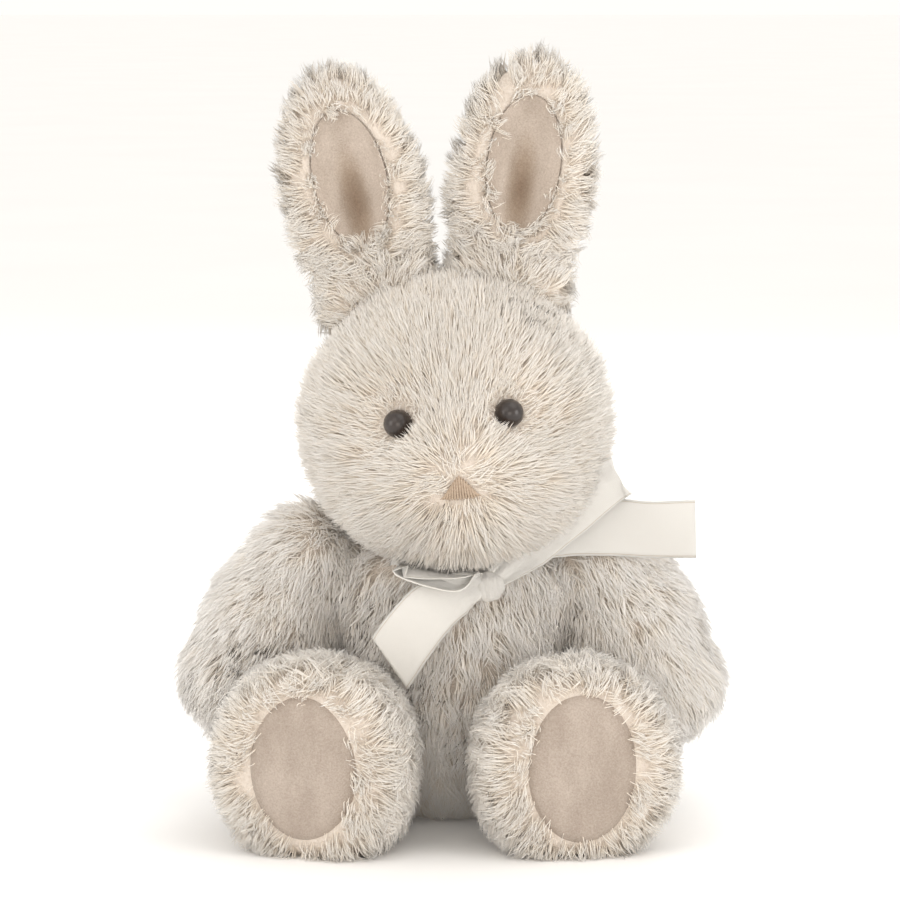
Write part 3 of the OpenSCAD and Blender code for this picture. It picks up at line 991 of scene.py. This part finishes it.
def head_keep(p):
    """Bare under the nose, the eyes and the neck."""
    q = HEAD.local(p)
    d = q - NOSE_C
    wedge = np.abs(d[:, 0]) / 7.0 + d[:, 2] / 6.2
    ok = (wedge > 1) | (d[:, 2] < -3.8) | (q[:, 1] > MUZZLE_C[1])
    for k in SIDES.values():
        ok &= np.linalg.norm(q - eye_centre(k), axis=1) > EYE_R + 0.8
    return ok & (np.linalg.norm(q, axis=1) > 24)


def sole_keep(side):
    """Bare under the foot pad and on the floor."""
    def keep(p):
        q = LEGS[side].local(p)
        return ((q[:, 1] > SOLE_Y + 4) | (pad_oval(q) > 1.02)) & (p[:, 2] > 1.0)
    return keep


def lining_keep(side):
    """Bare inside the cup of the ear, under its lining."""
    def keep(p):
        q = EARS[side].local(p)
        return (q[:, 1] > ear_cup(q[:, 0], q[:, 2]) + 1) | (lining_oval(q) > 1.0)
    return keep


fur("head_", head_form, head_mesh, "head", head_groom, 60000, head_keep, {
    "left_front": head_part(1, -99, -28),
    "right_front": head_part(-1, -99, -28),
    "left_middle": head_part(1, -28, 6),
    "right_middle": head_part(-1, -28, 6),
    "left_back": head_part(1, 6, 99),
    "right_back": head_part(-1, 6, 99),
    "crown": on_crown,
}, 11, clump=0.45, wave=0.3, frizz=0.11, pale=0.46)

# pale=0.78: the torso's fur is painted lighter, as painted light in the shade of the head and feet
fur("torso_", torso_form, torso_mesh, "torso", torso_groom, 44000, lambda p: p[:, 2] > 1.5, {
    "front_left": torso_part(1, True),
    "front_right": torso_part(-1, True),
    "back_left": torso_part(1, False),
    "back_right": torso_part(-1, False),
}, 12, clump=0.72, wave=1.2, frizz=0.22, per_tuft=15, spread=2.6, pale=0.78)

fur("tail_", tail_form, tail_mesh, "torso", tail_groom, 5000, lambda p: ball(p, HIPS_C, HIPS_R) > 0, {
    "ball": everywhere,
}, 13, clump=0.6, wave=0.8, frizz=0.3)

for s, k in SIDES.items():
    # pale=0.8: the arms' fur is painted lighter, as painted light
    fur(f"{s}_arm_", arm_form(s), arm_mesh[s], f"{s}_arm", arm_groom(s), 21000, everywhere, {
        "outer": arm_part(s, True),
        "inner": arm_part(s, False),
    }, 20 + k, clump=0.62, wave=0.9, frizz=0.2, per_tuft=14, spread=2.5, pale=0.8)
    fur(f"{s}_leg_", leg_form(s), leg_mesh[s], f"{s}_leg", leg_groom(s), 23500, sole_keep(s), {
        "outer": leg_part(s, True),
        "inner": leg_part(s, False),
    }, 30 + k, clump=0.5, wave=0.4, frizz=0.16)
    fur(f"{s}_ear_", ear_form(s), ear_mesh[s], f"{s}_ear", ear_groom(s), 12400, lining_keep(s), {
        "blade": everywhere,
    }, 40 + k, clump=0.6, wave=0.6, frizz=0.24, spread=1.6)


# ---- floor, light and camera ----

def stage_floor():
    mesh = bpy.data.meshes.new("floor")
    half = 60.0
    mesh.from_pydata([(-half, -half, 0), (half, -half, 0), (half, half, 0), (-half, half, 0)], [], [(0, 1, 2, 3)])
    m = Nodes("floor_white", Roughness=0.9)
    m.to("Base Color", m.ramp(m.noise(3, 2), [(0.3, (0.95, 0.95, 0.95)), (0.7, (0.97, 0.97, 0.97))]))
    finish_mesh(mesh, m.material, False)
    link("floor", mesh)


def area_light(name, place, target, power, size, colour=(1, 1, 1)):
    data = bpy.data.lights.new(name, "AREA")
    data.energy, data.size, data.color = power, size, colour
    obj = bpy.data.objects.new(name, data)
    obj.location = place
    obj.rotation_euler = (Vector(target) - Vector(place)).to_track_quat("-Z", "Y").to_euler()
    bpy.context.scene.collection.objects.link(obj)


def light_and_camera():
    scene = bpy.context.scene
    world = bpy.data.worlds.new("studio")
    world.use_nodes = True
    world.node_tree.nodes["Background"].inputs["Color"].default_value = (1, 0.968, 0.925, 1)
    world.node_tree.nodes["Background"].inputs["Strength"].default_value = 1.05
    scene.world = world
    middle = (0, 0, 0.14)
    area_light("key", (-0.6, -1.0, 1.0), middle, 1.5, 0.8, (1, 0.97, 0.93))
    area_light("low", (0.05, -1.5, 0.16), (0, 0, 0.05), 3.2, 0.7, (1, 0.91, 0.82))
    area_light("right", (1.1, -0.7, 0.35), (0.07, 0, 0.06), 3.6, 0.6, (1, 0.975, 0.95))
    area_light("left", (-1.1, -0.7, 0.35), (-0.07, 0, 0.06), 2.4, 0.6, (1, 0.965, 0.93))
    area_light("top", (0.45, -0.35, 1.3), middle, 2.5, 1.0, (1, 0.975, 0.94))
    area_light("rim", (0.2, 1.1, 1.0), middle, 5, 0.8)
    scene.view_settings.view_transform = "Standard"
    cam = bpy.data.cameras.new("camera")
    cam.sensor_width, cam.lens = 36, 134
    obj = bpy.data.objects.new("camera", cam)
    elevation, distance = math.radians(8), 1.3
    target = Vector((-0.0008, 0, 0.1377))
    obj.location = target + distance * Vector((0, -math.cos(elevation), math.sin(elevation)))
    obj.rotation_euler = (target - obj.location).to_track_quat("-Z", "Y").to_euler()
    cam.clip_start, cam.clip_end = 0.05, 30
    scene.collection.objects.link(obj)
    scene.camera = obj


stage_floor()
light_and_camera()
